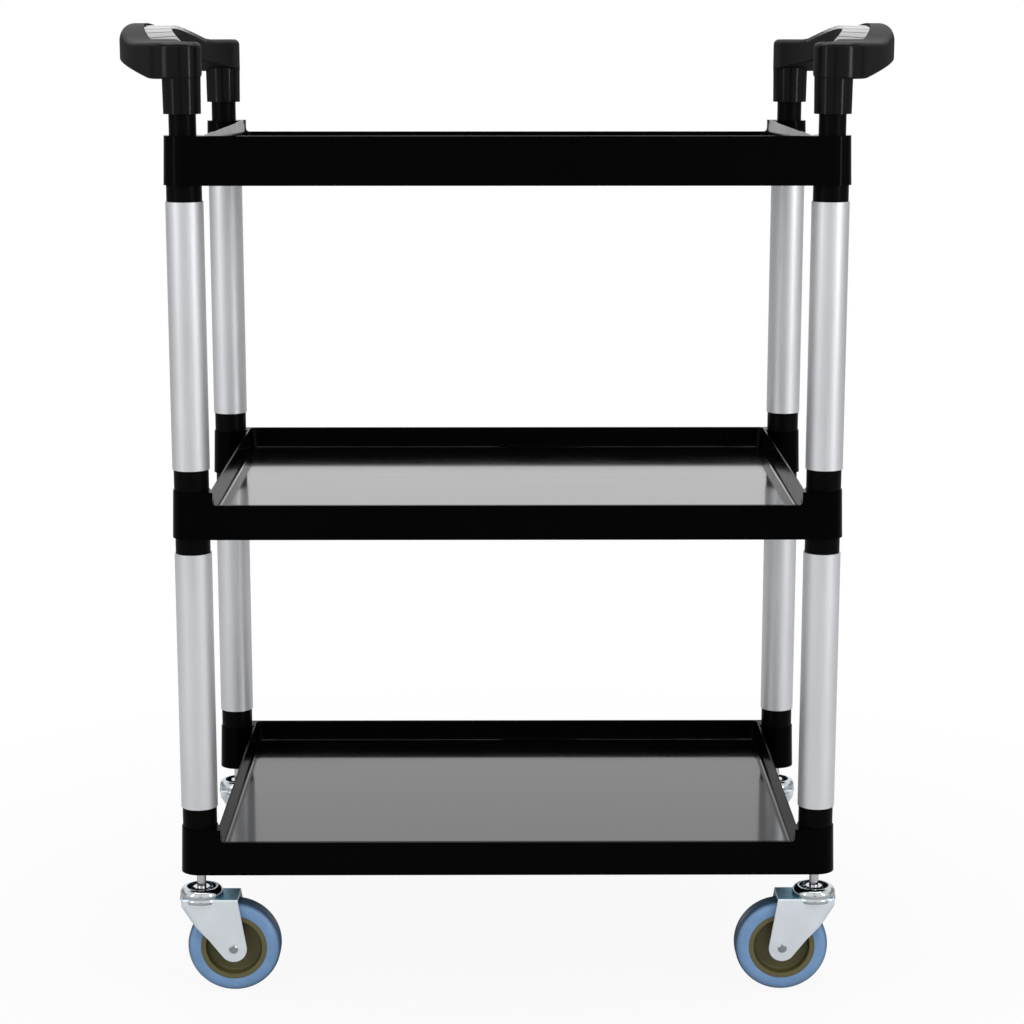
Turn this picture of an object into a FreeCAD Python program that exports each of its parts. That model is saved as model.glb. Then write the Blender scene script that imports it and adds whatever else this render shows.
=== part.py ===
"""Three-tier food service trolley on four swivel casters.

Frame: millimetres, +Z up, +X along the trolley, +Y across it. The origin is on the floor,
under the middle of the trolley. The low lips of the two lower trays face -Y.
"""
import FreeCAD, Part
import math
import os
import Sketcher
from FreeCAD import Placement, Rotation, Vector

document = FreeCAD.newDocument("food_service_trolley")
sheet = document.addObject("Spreadsheet::Sheet", "Sizes")

SIZES = {
    # posts and tiers
    "post_spacing_length": 661,
    "post_spacing_width": 385,
    "lowest_tray_height": 134,
    "tier_pitch": 366.5,
    # tray moulding
    "tray_height": 50,
    "tray_wall": 3.2,
    "tray_floor_level": 26.4,
    "tray_floor_thickness": 3,
    "tray_lip_height": 36.4,
    "tray_draft": 1.6,
    "recess_draft": 5.5,
    "recess_corner_radius": 7,
    "recess_floor_radius": 3,
    "lip_corner_radius": 4,
    "corner_boss_radius": 20.8,
    "end_wall_inset": 19.2,
    "rib_pitch_length": 88,
    "rib_pitch_width": 80,
    "rib_thickness": 2,
    "rib_depth": 11,
    # posts: aluminium tubes over plastic plugs
    "tube_diameter": 39,
    "tube_wall": 1.2,
    "collar_below_tray": 17,
    "collar_above_tray": 22,
    "plug_insertion": 30,
    "plug_wall": 3,
    "neck_diameter": 28,
    "neck_wall": 4,
    "fit_clearance": 0.05,
    # push handles
    "neck_showing": 21.5,
    "neck_insertion": 38,
    "socket_diameter": 38.2,
    "socket_length": 35,
    "socket_draft": 0.8,
    "head_thickness": 36.5,
    "head_radius": 20,
    "grip_overhang": 86,
    "grip_corner_overhang": 23,
    "grip_inner_overhang": 31,
    "grip_inner_radius": 320,
    "grip_rise": 18.7,
    "grip_crown_radius": 400,
    "grip_blend_radius": 212,
    "grip_wall_margin": 0.3,
    "grip_shoulder_margin": 1.6,
    "grip_underside_rise": 18.5,
    "grip_underside_inset": 17.4955,
    "grip_underside_blend_radius": 60,
    "grip_bend_radius": 40,
    "head_inset": 19.8,
    "grip_inner_corner_radius": 40,
    "inner_corner_margin": 0.5,
    "grip_top_round": 6,
    "grip_bottom_round": 2,
    "socket_overlap": 4,
    # ribbed pads let into the tops of the handles
    "pad_width": 29,
    "pad_half_length": 118,
    "pad_arch_radius": 450,
    "pad_thickness": 3.4,
    "pad_recess": 2.4,
    "pad_gap": 0.4,
    "pad_groove_width": 2.6,
    "pad_groove_depth": 1.6,
    # casters
    "stem_diameter": 10,
    "stem_insertion": 30,
    "stem_rivet_radius": 8,
    "stem_rivet_height": 2.8,
    "wheel_diameter": 100,
    "wheel_width": 28,
    "caster_trail": 34.8,
    "crown_height": 106,
    "crown_radius": 23,
    "crown_skirt": 7,
    "crown_trailing_reach": 40,
    "sheet_thickness": 2.5,
    "fork_width": 39,
    "fork_front_reach": 21,
    "fork_shoulder_height": 97,
    "fork_knee_reach": 9,
    "fork_knee_height": 77.5,
    "fork_shin_reach": 8,
    "fork_shin_height": 61,
    "fork_heel_reach": 58.1,
    "fork_heel_depth": 2.9,
    "fork_foot_radius": 14.3,
    "fork_nose_radius": 6,
    "fork_bend_radius": 2.2,
    "web_bottom_height": 79,
    "cap_height": 9.2,
    "cap_thickness": 1.6,
    "cap_opening_radius": 16,
    "cap_shoulder_radius": 6.9,
    "ball_diameter": 4.4,
    "ball_circle_radius": 18.7,
    "race_disc_radius": 16.1,
    "race_disc_thickness": 2.6,
    "race_gap": 0.3,
    "nut_across_flats": 17,
    "nut_height": 6,
    "nut_chamfer": 1,
    "running_clearance": 0.08,
    "axle_diameter": 8,
    "axle_head_radius": 4.8,
    "axle_head_thickness": 1.3,
    "hub_rim_radius": 35.6,
    "hub_recess_radius": 30.4,
    "hub_rim_width": 26,
    "hub_web_thickness": 9,
    "hub_boss_radius": 10,
    "hub_side_clearance": 0.5,
    "hub_dish_radius": 3,
    "tyre_shoulder_radius": 8,
}
for row, (alias, number) in enumerate(SIZES.items(), start=1):
    sheet.set(f"A{row}", alias)
    sheet.set(f"B{row}", str(number))
    sheet.setAlias(f"B{row}", alias)
document.recompute()

POSTS = {"front_left": (-1, -1), "front_right": (1, -1), "rear_left": (-1, 1), "rear_right": (1, 1)}
BALLS_PER_CASTER = 12
RIBS_ALONG = (-2, -1, 0, 1, 2)
RIBS_ACROSS = (-3, -2, -1, 0, 1, 2, 3)
GROOVES = 10
GROOVE_STEP_DEGREES = 3.95
finished = []


# ---- helpers ----------------------------------------------------------------------------

def in_sheet(expression):
    """Puts the sheet's name before each alias in an expression."""
    words = str(expression).replace("(", "( ").replace(")", " )").split()
    return " ".join("Sizes." + word if word in SIZES else word for word in words)


def value_of(expression):
    """The number that an expression on the sheet's aliases comes to."""
    value = sheet.evalExpression(in_sheet(expression).replace("Sizes.", ""))
    return float(getattr(value, "Value", value))


def bind(thing, links):
    """Ties properties of an object to expressions on the sheet's aliases."""
    for path, expression in links.items():
        thing.setExpression(path, in_sheet(expression))


def place(thing, x="0", y="0", z="0", turn=0, axis=(0, 0, 1)):
    """Gives an object a turn in degrees and a bound position."""
    thing.Placement = Placement(Vector(0, 0, 0), Rotation(Vector(*axis), turn))
    bind(thing, {"Placement.Base.x": x, "Placement.Base.y": y, "Placement.Base.z": z})


def keep(thing, label):
    """Gives a finished sub-part its own label."""
    thing.Label = label
    finished.append(thing)


def new_body(name):
    return document.addObject("PartDesign::Body", name)


def origin_plane(body, role):
    return next(part for part in body.Origin.OriginFeatures if part.Role == role)


def new_sketch(body, name, role, offset="0"):
    """A sketch on one of the body's own origin planes, moved off it by a bound distance."""
    sketch = body.newObject("Sketcher::SketchObject", name)
    sketch.AttachmentSupport = (origin_plane(body, role), [""])
    sketch.MapMode = "FlatFace"
    bind(sketch, {"AttachmentOffset.Base.z": offset})
    return sketch


def fix(sketch, kind, geometry, point, expression):
    """Ties one coordinate of a point, or a radius, to an expression."""
    number = value_of(expression)
    if kind == "Radius":
        constraint = Sketcher.Constraint(kind, geometry, number)
    else:
        constraint = Sketcher.Constraint(kind, -1, 1, geometry, point, number)
    index = sketch.addConstraint(constraint)
    sketch.setExpression(f"Constraints[{index}]", in_sheet(expression))


def draw_outline(sketch, corners):
    """A closed outline of straight lines through bound corners."""
    points = [Vector(value_of(x), value_of(y), 0) for x, y in corners]
    first = sketch.GeometryCount
    count = len(points)
    for i in range(count):
        sketch.addGeometry(Part.LineSegment(points[i], points[(i + 1) % count]), False)
    for i in range(count):
        following = first + (i + 1) % count
        sketch.addConstraint(Sketcher.Constraint("Coincident", first + i, 2, following, 1))
        fix(sketch, "DistanceX", first + i, 1, corners[i][0])
        fix(sketch, "DistanceY", first + i, 1, corners[i][1])


def draw_rounded_rectangle(sketch, low, high, radius):
    """A rectangle between two bound corners, its four corners rounded."""
    x0, y0 = value_of(low[0]), value_of(low[1])
    x1, y1 = value_of(high[0]), value_of(high[1])
    r = value_of(radius)
    sides = [((x0 + r, y0), (x1 - r, y0)), ((x1, y0 + r), (x1, y1 - r)),
             ((x1 - r, y1), (x0 + r, y1)), ((x0, y1 - r), (x0, y0 + r))]
    for start, end in sides:
        sketch.addGeometry(Part.LineSegment(Vector(*start, 0), Vector(*end, 0)), False)
    near_x, far_x = f"{low[0]} + {radius}", f"{high[0]} - {radius}"
    near_y, far_y = f"{low[1]} + {radius}", f"{high[1]} - {radius}"
    centres = [(far_x, near_y), (far_x, far_y), (near_x, far_y), (near_x, near_y)]
    for i, (x, y) in enumerate(centres):
        circle = Part.Circle(Vector(value_of(x), value_of(y), 0), Vector(0, 0, 1), r)
        start = (i - 1) * math.pi / 2
        sketch.addGeometry(Part.ArcOfCircle(circle, start, start + math.pi / 2), False)
        sketch.addConstraint(Sketcher.Constraint("Coincident", i, 2, 4 + i, 1))
        sketch.addConstraint(Sketcher.Constraint("Coincident", 4 + i, 2, (i + 1) % 4, 1))
        fix(sketch, "DistanceX", 4 + i, 3, x)
        fix(sketch, "DistanceY", 4 + i, 3, y)
        fix(sketch, "Radius", 4 + i, 0, radius)
    fix(sketch, "DistanceX", 0, 1, near_x)
    fix(sketch, "DistanceX", 0, 2, far_x)
    fix(sketch, "DistanceY", 1, 1, near_y)
    fix(sketch, "DistanceY", 1, 2, far_y)
    fix(sketch, "DistanceX", 2, 1, far_x)
    fix(sketch, "DistanceX", 2, 2, near_x)
    fix(sketch, "DistanceY", 3, 1, far_y)
    fix(sketch, "DistanceY", 3, 2, near_y)


def draw_circle(sketch, x, y, radius):
    circle = Part.Circle(Vector(value_of(x), value_of(y), 0), Vector(0, 0, 1), value_of(radius))
    index = sketch.addGeometry(circle, False)
    fix(sketch, "DistanceX", index, 3, x)
    fix(sketch, "DistanceY", index, 3, y)
    fix(sketch, "Radius", index, 0, radius)


def rectangle(half_length, half_width, x="0", y="0"):
    """Corners of a rectangle about a point."""
    low_x, high_x = f"{x} - ( {half_length} )", f"{x} + ( {half_length} )"
    low_y, high_y = f"{y} - ( {half_width} )", f"{y} + ( {half_width} )"
    return [(low_x, low_y), (high_x, low_y), (high_x, high_y), (low_x, high_y)]


def pad(body, name, sketch, length, taper="0"):
    feature = body.newObject("PartDesign::Pad", name)
    feature.Profile = sketch
    bind(feature, {"Length": length, "TaperAngle": taper})
    document.recompute()
    return feature


def pad_both_ways(body, name, sketch, length):
    feature = body.newObject("PartDesign::Pad", name)
    feature.Profile = sketch
    feature.SideType = "Symmetric"
    bind(feature, {"Length": length})
    document.recompute()
    return feature


def pocket(body, name, sketch, length, taper="0", both_ways=False):
    """A pocket that has to take something away, whichever side of its sketch that is on."""
    before = body.Shape.Volume
    feature = body.newObject("PartDesign::Pocket", name)
    feature.Profile = sketch
    if both_ways:
        feature.SideType = "Symmetric"
    bind(feature, {"Length": length, "TaperAngle": taper})
    document.recompute()
    if feature.Shape.Volume > before - 1:
        feature.Reversed = True
        document.recompute()
    if feature.Shape.Volume > before - 1:
        raise RuntimeError(f"{name} cuts nothing")
    return feature


def revolve(body, name, role, corners):
    """A solid turned about the sketch's upright axis, from a bound half section."""
    sketch = new_sketch(body, name + "_section", role)
    draw_outline(sketch, corners)
    feature = body.newObject("PartDesign::Revolution", name)
    feature.Profile = sketch
    feature.ReferenceAxis = (sketch, ["V_Axis"])
    feature.Angle = 360
    document.recompute()
    return feature


def round_edges(body, name, chosen, radius):
    """Rounds those edges of the body that a test picks out."""
    base = body.Tip
    edges = [f"Edge{i}" for i, edge in enumerate(base.Shape.Edges, 1) if chosen(edge)]
    if not edges:
        raise RuntimeError(f"{name} finds no edge")
    feature = body.newObject("PartDesign::Fillet", name)
    feature.Base = (base, edges)
    bind(feature, {"Radius": radius})
    document.recompute()
    return feature


def is_at(edge, **wanted):
    """True where an edge or face lies wholly at the given coordinates, signs left aside."""
    box = edge.BoundBox
    middles = {"x": box.Center.x, "y": box.Center.y, "z": box.Center.z}
    spans = {"x": box.XLength, "y": box.YLength, "z": box.ZLength}
    return all(spans[name] < 0.02 and abs(abs(middles[name]) - number) < 0.02
               for name, number in wanted.items())


def is_upright(edge):
    """True for an edge that climbs far more than it runs."""
    box = edge.BoundBox
    return box.ZLength > 1 and box.ZLength > 5 * math.hypot(box.XLength, box.YLength)


def part(kind, name, **links):
    """A Part primitive with bound sizes."""
    thing = document.addObject("Part::" + kind, name)
    bind(thing, links)
    return thing


def cut(name, base, tool):
    thing = document.addObject("Part::Cut", name)
    thing.Base = base
    thing.Tool = tool
    return thing


def common(name, *shapes):
    thing = document.addObject("Part::MultiCommon", name)
    thing.Shapes = list(shapes)
    return thing


def post_x(side):
    return f"{side} * post_spacing_length / 2"


def post_y(side):
    return f"{side} * post_spacing_width / 2"


# ---- trays: one moulding used three times -----------------------------------------------

END_WALL = "( post_spacing_length / 2 - end_wall_inset )"
SIDE_WALL = "( post_spacing_width / 2 + corner_boss_radius )"
HALF_LENGTH = "( post_spacing_length / 2 )"
HALF_WIDTH = "( post_spacing_width / 2 )"
RECESS_HALF_LENGTH = f"( {END_WALL} - tray_wall )"
RECESS_HALF_WIDTH = f"( {SIDE_WALL} - tray_wall - 1 )"
TRAY_BORE = "( neck_diameter / 2 + fit_clearance )"


def mirrored_corners(quarter):
    """Corners of an outline that is the same in all four quarters, from those in the first."""
    second = [(f"0 - {x}", y) for x, y in reversed(quarter)]
    third = [(f"0 - {x}", f"0 - {y}") for x, y in quarter]
    fourth = [(x, f"0 - {y}") for x, y in reversed(quarter)]
    return quarter + second + third + fourth


def make_tray(name, height, turn):
    body = new_body(name)

    # Side walls run on to the posts; end walls stand inboard of them. All four have draft.
    outline = new_sketch(body, name + "_outline", "XY_Plane")
    first_quarter = [(END_WALL, HALF_WIDTH), (HALF_LENGTH, HALF_WIDTH), (HALF_LENGTH, SIDE_WALL)]
    draw_outline(outline, mirrored_corners(first_quarter))
    block = pad(body, name + "_block", outline, "tray_height")
    end, side = value_of(END_WALL), value_of(SIDE_WALL)
    walls = [f"Face{i}" for i, face in enumerate(block.Shape.Faces, 1)
             if is_at(face, x=end) or is_at(face, y=side)]
    draft = body.newObject("PartDesign::Draft", name + "_draft")
    draft.Base = (block, walls)
    draft.NeutralPlane = (origin_plane(body, "XY_Plane"), [""])
    bind(draft, {"Angle": "tray_draft"})
    document.recompute()

    # Corner bosses, with the same draft so that the side walls stay tangent to them.
    for post_name, post in POSTS.items():
        boss = body.newObject("PartDesign::AdditiveCone", f"{name}_boss_{post_name}")
        boss.AttachmentSupport = (origin_plane(body, "XY_Plane"), [""])
        boss.MapMode = "FlatFace"
        bind(boss, {
            "Radius1": "corner_boss_radius",
            "Radius2": "corner_boss_radius - tray_height * tan( tray_draft * 1deg )",
            "Height": "tray_height",
            "AttachmentOffset.Base.x": post_x(post[0]),
            "AttachmentOffset.Base.y": post_y(post[1]),
        })
    document.recompute()

    # The recess on top and its corners.
    recess = new_sketch(body, name + "_recess_plan", "XY_Plane", "tray_height")
    draw_outline(recess, rectangle(RECESS_HALF_LENGTH, RECESS_HALF_WIDTH))
    pocket(body, name + "_recess", recess, "tray_height - tray_floor_level", "0 - recess_draft")
    floor = value_of("tray_floor_level")
    round_edges(body, name + "_recess_corners", lambda edge: is_recess_corner(edge, floor),
                "recess_corner_radius")
    round_edges(body, name + "_recess_floor_edge", lambda edge: is_at(edge, z=floor),
                "recess_floor_radius")

    # The low lip along one side.
    notch = new_sketch(body, name + "_notch_section", "XZ_Plane", f"{SIDE_WALL} + 1")
    reach = f"( {RECESS_HALF_LENGTH} - 1.5 )"
    draw_rounded_rectangle(notch, (f"0 - {reach}", "tray_lip_height"),
                           (reach, "2 * tray_height"), "lip_corner_radius")
    pocket(body, name + "_notch", notch, "3 * tray_wall")

    # The open underside, with a grid of stiffening ribs.
    skirt = new_sketch(body, name + "_underside_plan", "XY_Plane")
    draw_outline(skirt, rectangle(f"{END_WALL} - tray_wall", f"{SIDE_WALL} - tray_wall"))
    underside = "( tray_floor_level - tray_floor_thickness )"
    pocket(body, name + "_underside", skirt, underside)
    rib_base = f"{underside} - rib_depth"
    along = new_sketch(body, name + "_long_ribs_plan", "XY_Plane", rib_base)
    for place_number in RIBS_ALONG:
        middle = f"{place_number} * rib_pitch_width"
        draw_outline(along, rectangle(f"{END_WALL} - 1", "rib_thickness / 2", y=middle))
    pad(body, name + "_long_ribs", along, "rib_depth + 1")
    across = new_sketch(body, name + "_cross_ribs_plan", "XY_Plane", rib_base)
    for place_number in RIBS_ACROSS:
        middle = f"{place_number} * rib_pitch_length"
        draw_outline(across, rectangle("rib_thickness / 2", f"{SIDE_WALL} - 1", x=middle))
    pad(body, name + "_cross_ribs", across, "rib_depth + 1")

    # Bores for the post connectors.
    bores = new_sketch(body, name + "_bores_plan", "XY_Plane")
    for side_x, side_y in POSTS.values():
        draw_circle(bores, post_x(side_x), post_y(side_y), TRAY_BORE)
    pocket(body, name + "_bores", bores, "tray_height")

    place(body, z=height, turn=turn)
    keep(body, name)


def is_recess_corner(edge, floor):
    """True for the four leaning corner edges of the tray's recess."""
    box = edge.BoundBox
    inside = abs(box.Center.x) < value_of(END_WALL) and abs(box.Center.y) < value_of(SIDE_WALL)
    return inside and is_upright(edge) and abs(box.ZMin - floor) < 0.01


# ---- posts ------------------------------------------------------------------------------

PLUG_RADIUS = "( tube_diameter / 2 - tube_wall - fit_clearance )"
PLUG_BORE = f"( {PLUG_RADIUS} - plug_wall )"
NECK_RADIUS = "neck_diameter / 2"
NECK_BORE = "( neck_diameter / 2 - neck_wall )"


def make_tube(name, post, bottom, length):
    body = new_body(name)
    ring = new_sketch(body, name + "_ring", "XY_Plane")
    draw_circle(ring, "0", "0", "tube_diameter / 2")
    draw_circle(ring, "0", "0", "tube_diameter / 2 - tube_wall")
    pad(body, name + "_wall", ring, length)
    place(body, post_x(post[0]), post_y(post[1]), bottom)
    keep(body, name)


def make_connector(name, post, tray_height_expression, reach):
    """A plug under a tray whose neck passes up through the tray's boss."""
    body = new_body(name)
    foot = "0 - ( collar_below_tray + plug_insertion )"
    revolve(body, name + "_turned", "XZ_Plane", [
        (PLUG_BORE, foot),
        (PLUG_RADIUS, foot),
        (PLUG_RADIUS, "0"),
        (NECK_RADIUS, "0"),
        (NECK_RADIUS, reach),
        (NECK_BORE, reach),
        (NECK_BORE, "0 - plug_wall"),
        (PLUG_BORE, "0 - 2 * plug_wall"),
    ])
    place(body, post_x(post[0]), post_y(post[1]), tray_height_expression)
    keep(body, name)


def make_sleeve(name, post, tray_top):
    """The sleeve over the connector's neck above the middle tray, inside the upper tube."""
    body = new_body(name)
    top = "collar_above_tray + plug_insertion"
    ring = new_sketch(body, name + "_ring", "XY_Plane")
    draw_circle(ring, "0", "0", PLUG_RADIUS)
    draw_circle(ring, "0", "0", TRAY_BORE)
    pad(body, name + "_wall", ring, top)
    place(body, post_x(post[0]), post_y(post[1]), tray_top)
    keep(body, name)


def make_bottom_connector(name, post):
    """A plug above the lowest tray; its neck fills the tray's boss and takes the caster stem."""
    body = new_body(name)
    top = "tray_height + collar_above_tray + plug_insertion"
    stem_bore = "stem_diameter / 2 + fit_clearance"
    revolve(body, name + "_turned", "XZ_Plane", [
        (stem_bore, "0"),
        (NECK_RADIUS, "0"),
        (NECK_RADIUS, "tray_height"),
        (PLUG_RADIUS, "tray_height"),
        (PLUG_RADIUS, top),
        (PLUG_BORE, top),
        (PLUG_BORE, "tray_height + 2 * plug_wall"),
        (NECK_BORE, "tray_height + plug_wall"),
        (NECK_BORE, "stem_insertion + 2"),
        (stem_bore, "stem_insertion + 2"),
    ])
    place(body, post_x(post[0]), post_y(post[1]), "lowest_tray_height")
    keep(body, name)


# ---- push handles -----------------------------------------------------------------------
# Both lie along Y over the ends of the top tray. In plan each is a crescent between two arcs,
# and from the side its grip humps up between two level heads, with a round outer shoulder.
# The left one is drawn and the right one mirrored.

HANDLE_SOCKET_BASE = "( lowest_tray_height + 2 * tier_pitch + tray_height + neck_showing )"
HEAD_BASE = f"( {HANDLE_SOCKET_BASE} + socket_length )"
HEAD_TOP = f"( {HEAD_BASE} + head_thickness )"
ARCH_AXIS = f"( {HEAD_TOP} + grip_rise - grip_crown_radius )"
PAD_ARCH_AXIS = f"( {HEAD_TOP} + grip_rise - pad_arch_radius )"
HUMP_REACH = ("sqrt( grip_rise * ( 2 * grip_crown_radius + 2 * grip_blend_radius"
              " - grip_rise ) )")
SHOULDER_RADIUS = "( grip_rise + grip_shoulder_margin )"
BLOCK_HEIGHT = f"( head_thickness + grip_wall_margin + {SHOULDER_RADIUS} )"
HEAD_SIDE = f"( {HALF_WIDTH} + head_radius )"
UNDER_REACH = f"( {HEAD_SIDE} - grip_underside_inset )"
UNDER_RADIUS = (f"( ( {UNDER_REACH} * {UNDER_REACH} + grip_underside_rise * grip_underside_rise )"
                " / ( 2 * grip_underside_rise ) )")
UNDER_ARCH_AXIS = f"( {HEAD_BASE} + grip_underside_rise - {UNDER_RADIUS} )"
OUTER_REACH = f"( {HALF_LENGTH} + grip_overhang )"
OUTER_SAGITTA = "( grip_overhang - grip_corner_overhang )"
OUTER_RADIUS = (f"( ( {HEAD_SIDE} * {HEAD_SIDE} + {OUTER_SAGITTA} * {OUTER_SAGITTA} )"
                f" / ( 2 * {OUTER_SAGITTA} ) )")
OUTER_AXIS = f"( {OUTER_RADIUS} - {OUTER_REACH} )"
INNER_REACH = f"( {HALF_LENGTH} + grip_inner_overhang )"
INNER_AXIS = f"( grip_inner_radius - {INNER_REACH} )"
HEAD_INBOARD = f"( {HALF_LENGTH} - head_inset )"
INNER_SAGITTA = "( grip_inner_overhang + head_inset )"
INNER_CORNER_SIDE = f"sqrt( {INNER_SAGITTA} * ( 2 * grip_inner_radius - {INNER_SAGITTA} ) )"
INNER_CORNER_FLAT = f"( {HALF_WIDTH} - {INNER_CORNER_SIDE} - inner_corner_margin )"
INNER_CORNER_ROUND = (f"min(grip_inner_corner_radius ; {INNER_CORNER_FLAT} * ( 2 * grip_inner_radius"
                      f" - {INNER_SAGITTA} ) / {INNER_CORNER_SIDE})")


def draw_hump_clearance(sketch):
    """All that lies over the handle's top: level over the heads, humped over the grip."""
    reach, top, axis = value_of(HUMP_REACH), value_of(HEAD_TOP), value_of(ARCH_AXIS)
    crown, blend = value_of("grip_crown_radius"), value_of("grip_blend_radius")
    slope = math.asin(reach / (crown + blend))
    arcs = [(0, axis, crown, math.pi / 2 - slope, math.pi / 2 + slope),
            (reach, top + blend, blend, 1.5 * math.pi - slope, 1.5 * math.pi),
            (-reach, top + blend, blend, 1.5 * math.pi, 1.5 * math.pi + slope)]
    for x, z, radius, start, end in arcs:
        circle = Part.Circle(Vector(x, z, 0), Vector(0, 0, 1), radius)
        sketch.addGeometry(Part.ArcOfCircle(circle, start, end), False)
    side, high = f"( {HEAD_SIDE} + 5 )", f"( {HEAD_TOP} + 50 )"
    corners = [(HUMP_REACH, HEAD_TOP), (side, HEAD_TOP), (side, high), (f"0 - {side}", high),
               (f"0 - {side}", HEAD_TOP), (f"0 - {HUMP_REACH}", HEAD_TOP)]
    points = [Vector(value_of(x), value_of(z), 0) for x, z in corners]
    for start, end in zip(points, points[1:]):
        sketch.addGeometry(Part.LineSegment(start, end), False)
    joins = [(0, 1, 1, 1), (1, 2, 3, 1), (3, 2, 4, 1), (4, 2, 5, 1),
             (5, 2, 6, 1), (6, 2, 7, 1), (7, 2, 2, 1), (2, 2, 0, 2)]
    for join in joins:
        sketch.addConstraint(Sketcher.Constraint("Coincident", *join))
    centres = [("0", ARCH_AXIS), (HUMP_REACH, f"{HEAD_TOP} + grip_blend_radius"),
               (f"0 - {HUMP_REACH}", f"{HEAD_TOP} + grip_blend_radius")]
    for arc, (x, z) in enumerate(centres):
        fix(sketch, "DistanceX", arc, 3, x)
        fix(sketch, "DistanceY", arc, 3, z)
    fix(sketch, "Radius", 0, 0, "grip_crown_radius")
    touch = f"{HUMP_REACH} * grip_crown_radius / ( grip_crown_radius + grip_blend_radius )"
    fix(sketch, "DistanceX", 0, 1, touch)
    fix(sketch, "DistanceX", 0, 2, f"0 - {touch}")
    fix(sketch, "DistanceX", 1, 2, HUMP_REACH)
    fix(sketch, "DistanceX", 2, 1, f"0 - {HUMP_REACH}")
    for line, (x, z) in enumerate(corners[1:5], start=4):
        fix(sketch, "DistanceX", line, 1, x)
        fix(sketch, "DistanceY", line, 1, z)


def arched_bar(name, radius):
    """A round bar along X under the pad's arched top."""
    bar = part("Cylinder", name, Radius=radius, Height=f"{OUTER_REACH} + 10")
    bar.Placement = Placement(Vector(0, 0, 0), Rotation(Vector(0, 1, 0), -90))
    bind(bar, {"Placement.Base.z": PAD_ARCH_AXIS})
    return bar


def upright_bar(name, radius):
    """A tall round bar about the axis of the grip's inner curve."""
    bar = part("Cylinder", name, Radius=radius, Height=f"{HEAD_TOP} + 100")
    bind(bar, {"Placement.Base.x": INNER_AXIS})
    return bar


def strip(name, half_length):
    """A box over the grip's whole width, as long as its ribbed pad."""
    box = part("Box", name, Length=OUTER_REACH, Width=f"2 * ( {half_length} )",
               Height="200")
    bind(box, {"Placement.Base.x": f"0 - {OUTER_REACH}",
               "Placement.Base.y": f"0 - ( {half_length} )",
               "Placement.Base.z": f"{HEAD_TOP} - 100"})
    return box


def make_handle_body():
    body = new_body("handle_moulding")
    width = f"{OUTER_REACH} + 2 - {HEAD_INBOARD}"
    plan = new_sketch(body, "handle_plan", "XY_Plane", HEAD_BASE)
    middle = f"0 - ( {OUTER_REACH} + 2 + {HEAD_INBOARD} ) / 2"
    draw_outline(plan, rectangle(f"( {width} ) / 2", HEAD_SIDE, x=middle))
    pad(body, "handle_block", plan, BLOCK_HEIGHT)
    arch = new_sketch(body, "handle_arch_section", "YZ_Plane")
    draw_circle(arch, "0", UNDER_ARCH_AXIS, UNDER_RADIUS)
    pocket(body, "handle_arch", arch, f"2 * {OUTER_REACH} + 20", both_ways=True)
    bottom = value_of(HEAD_BASE)
    round_edges(body, "handle_under_crease",
                lambda edge: is_at(edge, z=bottom) and is_crease(edge),
                "grip_underside_blend_radius")

    # The outer side, bent round to the heads, with a round shoulder over the grip.
    outer = new_sketch(body, "handle_outer_curve", "XY_Plane", HEAD_BASE)
    draw_circle(outer, OUTER_AXIS, "0", OUTER_RADIUS)
    draw_outline(outer, rectangle(f"{OUTER_REACH} + 100", f"{OUTER_REACH} + 100"))
    pocket(body, "handle_outer", outer, "200", both_ways=True)
    side, inboard = value_of(HEAD_SIDE), value_of(HEAD_INBOARD)
    round_edges(body, "handle_bends",
                lambda edge: is_at(edge, y=side) and is_upright(edge)
                and edge.BoundBox.XMin < -inboard - 10, "grip_bend_radius")
    block_top = value_of(f"{HEAD_BASE} + {BLOCK_HEIGHT}")
    round_edges(body, "handle_shoulder",
                lambda edge: is_at(edge, z=block_top) and edge.BoundBox.XMin < -inboard - 1,
                SHOULDER_RADIUS)
    hump = new_sketch(body, "handle_hump_section", "YZ_Plane")
    draw_hump_clearance(hump)
    pocket(body, "handle_hump", hump, f"2 * {OUTER_REACH} + 20", both_ways=True)

    # The inner side of the crescent, and the heads' inboard corners.
    inner = new_sketch(body, "handle_inner_curve", "XY_Plane", HEAD_BASE)
    draw_circle(inner, INNER_AXIS, "0", "grip_inner_radius")
    pocket(body, "handle_inner", inner, "200", both_ways=True)
    round_edges(body, "handle_head_corners",
                lambda edge: is_at(edge, x=inboard, y=side), "head_radius - 0.1")
    corner = value_of(INNER_CORNER_SIDE)
    round_edges(body, "handle_inner_corners",
                lambda edge: is_at(edge, x=inboard, y=corner) and is_upright(edge),
                INNER_CORNER_ROUND)
    round_edges(body, "handle_top_round", is_top_edge, "grip_top_round")
    round_edges(body, "handle_bottom_round", is_bottom_edge, "grip_bottom_round")

    # Sockets that go down over the necks of the post connectors.
    sockets = new_sketch(body, "handle_sockets_plan", "XY_Plane", HANDLE_SOCKET_BASE)
    bores = new_sketch(body, "handle_bores_plan", "XY_Plane", HANDLE_SOCKET_BASE)
    for side_y in (-1, 1):
        draw_circle(sockets, post_x(-1), post_y(side_y), "socket_diameter / 2")
        draw_circle(bores, post_x(-1), post_y(side_y), TRAY_BORE)
    pad(body, "handle_sockets", sockets, "socket_length + socket_overlap", "socket_draft")
    pocket(body, "handle_bores", bores, "neck_insertion + 1")
    return body


def is_crease(edge):
    """True for the straight edges where the arched underside rises from the flat heads."""
    reach = value_of(UNDER_REACH)
    return edge.BoundBox.YLength < 0.01 and abs(abs(edge.BoundBox.YMin) - reach) < 0.1


def is_top_edge(edge):
    """True for edges round the top of the handle."""
    box = edge.BoundBox
    return box.ZMin > value_of(HEAD_TOP) - 0.1 and not is_crossing(edge)


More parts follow.
